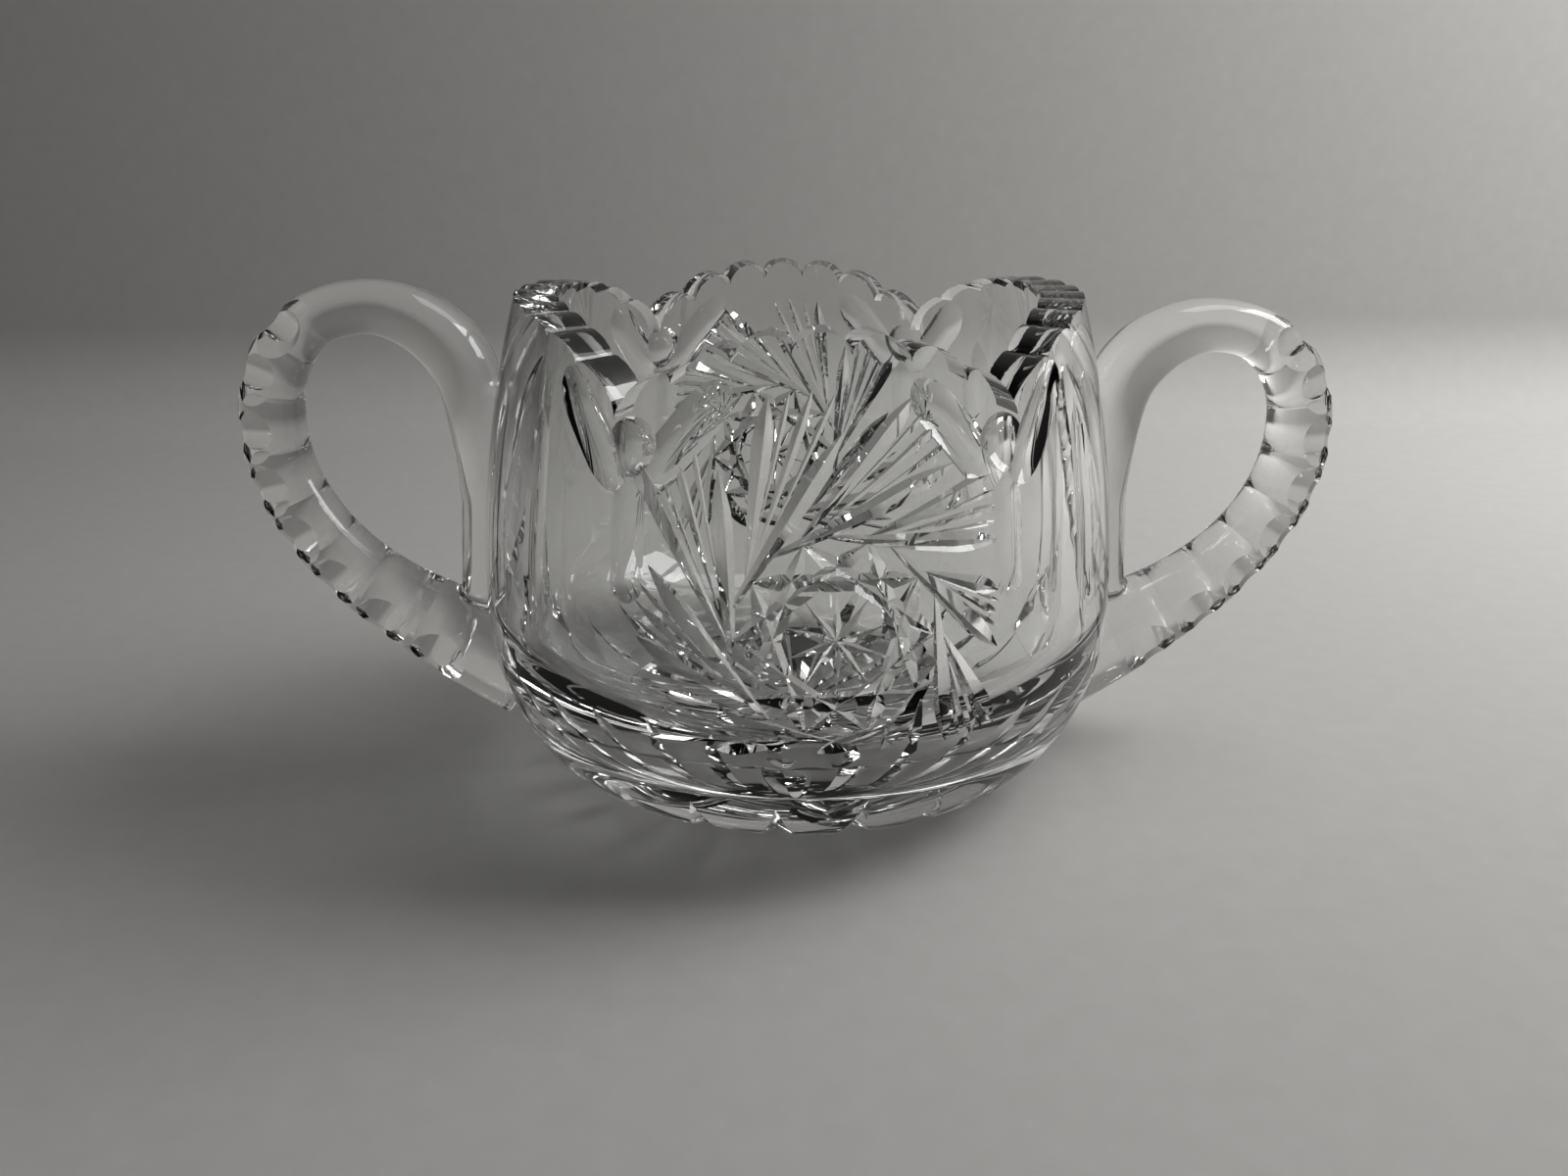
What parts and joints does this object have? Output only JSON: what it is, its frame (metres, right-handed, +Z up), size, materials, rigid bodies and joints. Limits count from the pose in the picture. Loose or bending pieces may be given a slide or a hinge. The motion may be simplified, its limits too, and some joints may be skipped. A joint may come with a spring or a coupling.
{
  "type": "two-handled sugar bowl",
  "caption": "Small round cut-glass bowl with a lobed sawtooth rim, a pinwheel on front and back, and notched loop handles, for holding sugar or small items.",
  "frame": {"origin": "middle of the overall box at its bottom, which is the middle of the foot on the standing plane", "axes": "+Z up along the bowl's axis, +X towards the right handle, -Y towards the pinwheel that faces the viewer"},
  "size_m": [0.1559, 0.0906, 0.0707],
  "materials": {
    "bowl_glass": "polished, wheel-cut",
    "handle_glass": "polished, thumb-notched"
  },
  "bodies": {
    "root": {"bowl": "bowl_glass", "left_handle": "handle_glass", "right_handle": "handle_glass"}
  },
  "joints": []
}
